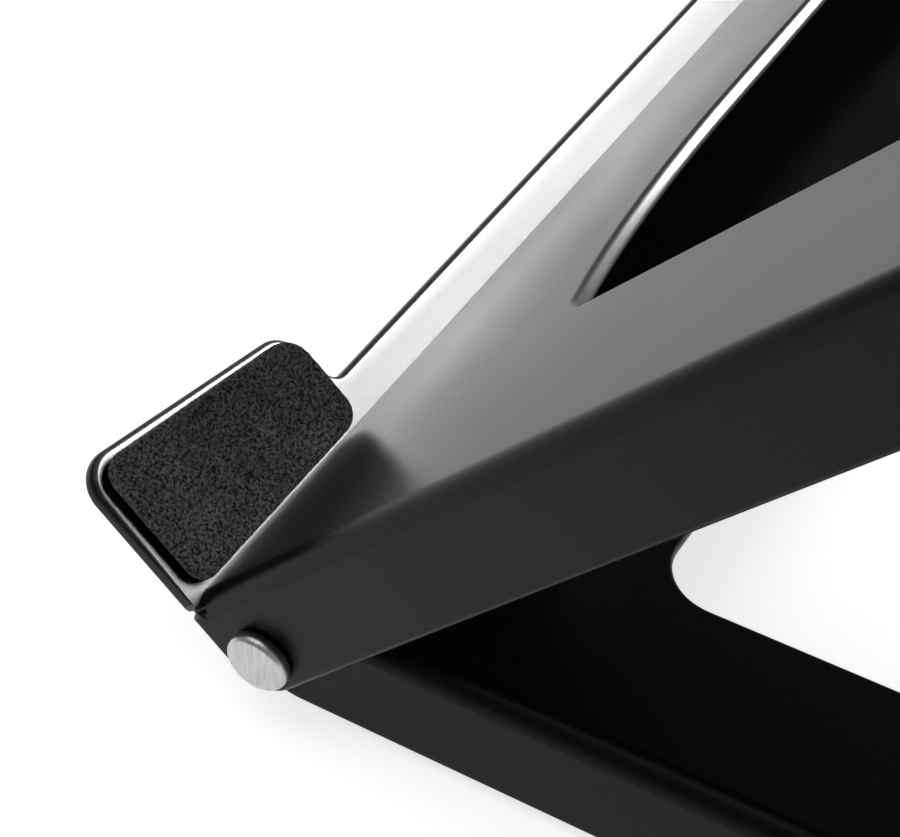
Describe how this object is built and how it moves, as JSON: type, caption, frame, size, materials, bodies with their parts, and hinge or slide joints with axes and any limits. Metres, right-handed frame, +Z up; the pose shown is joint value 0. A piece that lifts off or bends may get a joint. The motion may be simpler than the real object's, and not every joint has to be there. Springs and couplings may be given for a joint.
{
  "type": "laptop stand",
  "caption": "Folding sheet-metal laptop stand: an open tray with a padded front lip, hinged by rivets to an open base and held up by a swinging prop.",
  "frame": {"origin": "centre of the footprint on the table plane, with the stand set up at its steepest angle", "axes": "+Y from the front hinge to the back of the base, +X to the right seen from the front, +Z up"},
  "size_m": [0.2538, 0.2597, 0.1929],
  "materials": {
    "black_powder_coat": "satin black powder coat",
    "polished_steel": "bright plated steel",
    "black_foam": "fine-celled black foam",
    "black_rubber": "matt black rubber",
    "natural_nylon": "plain off-white nylon"
  },
  "bodies": {
    "base": {"base_frame": "black_powder_coat", "rubber_foot_front_right": "black_rubber", "rubber_foot_front_left": "black_rubber", "rubber_foot_back_right": "black_rubber", "rubber_foot_back_left": "black_rubber", "hinge_rivet_right": "polished_steel", "hinge_rivet_left": "polished_steel", "hinge_washer_right": "natural_nylon", "hinge_washer_left": "natural_nylon", "prop_lug_right": "black_powder_coat", "prop_lug_left": "black_powder_coat", "prop_pivot_pin_right": "polished_steel", "prop_pivot_pin_left": "polished_steel", "prop_pivot_washer_right": "natural_nylon", "prop_pivot_washer_left": "natural_nylon"},
    "tray": {"tray_frame": "black_powder_coat", "slide_bracket_right": "black_powder_coat", "slide_bracket_left": "black_powder_coat", "lip_pad_right": "black_foam", "lip_pad_left": "black_foam", "grip_strip_right": "black_rubber", "grip_strip_left": "black_rubber"},
    "prop": {"prop_link_right": "black_powder_coat", "prop_link_left": "black_powder_coat", "rod_clip_right": "polished_steel", "rod_clip_left": "polished_steel", "rod_washer_right": "natural_nylon", "rod_washer_left": "natural_nylon", "prop_cross_rod": "polished_steel", "rod_spacer_tube": "natural_nylon"}
  },
  "joints": [
    {"name": "tray_hinge", "type": "hinge", "parent": "base", "child": "tray", "pos_m": [0, -0.10598, 0.0105], "axis": [1, 0, 0], "range_deg": [-46.7, 0]},
    {"name": "prop_swing", "type": "hinge", "parent": "base", "child": "prop", "pos_m": [0, -0.00598, 0.0105], "axis": [1, 0, 0], "range_deg": [-93.4, 0]}
  ],
  "couplings": [
    {"joint": "prop_swing", "follows": "tray_hinge", "ratio": 2}
  ]
}
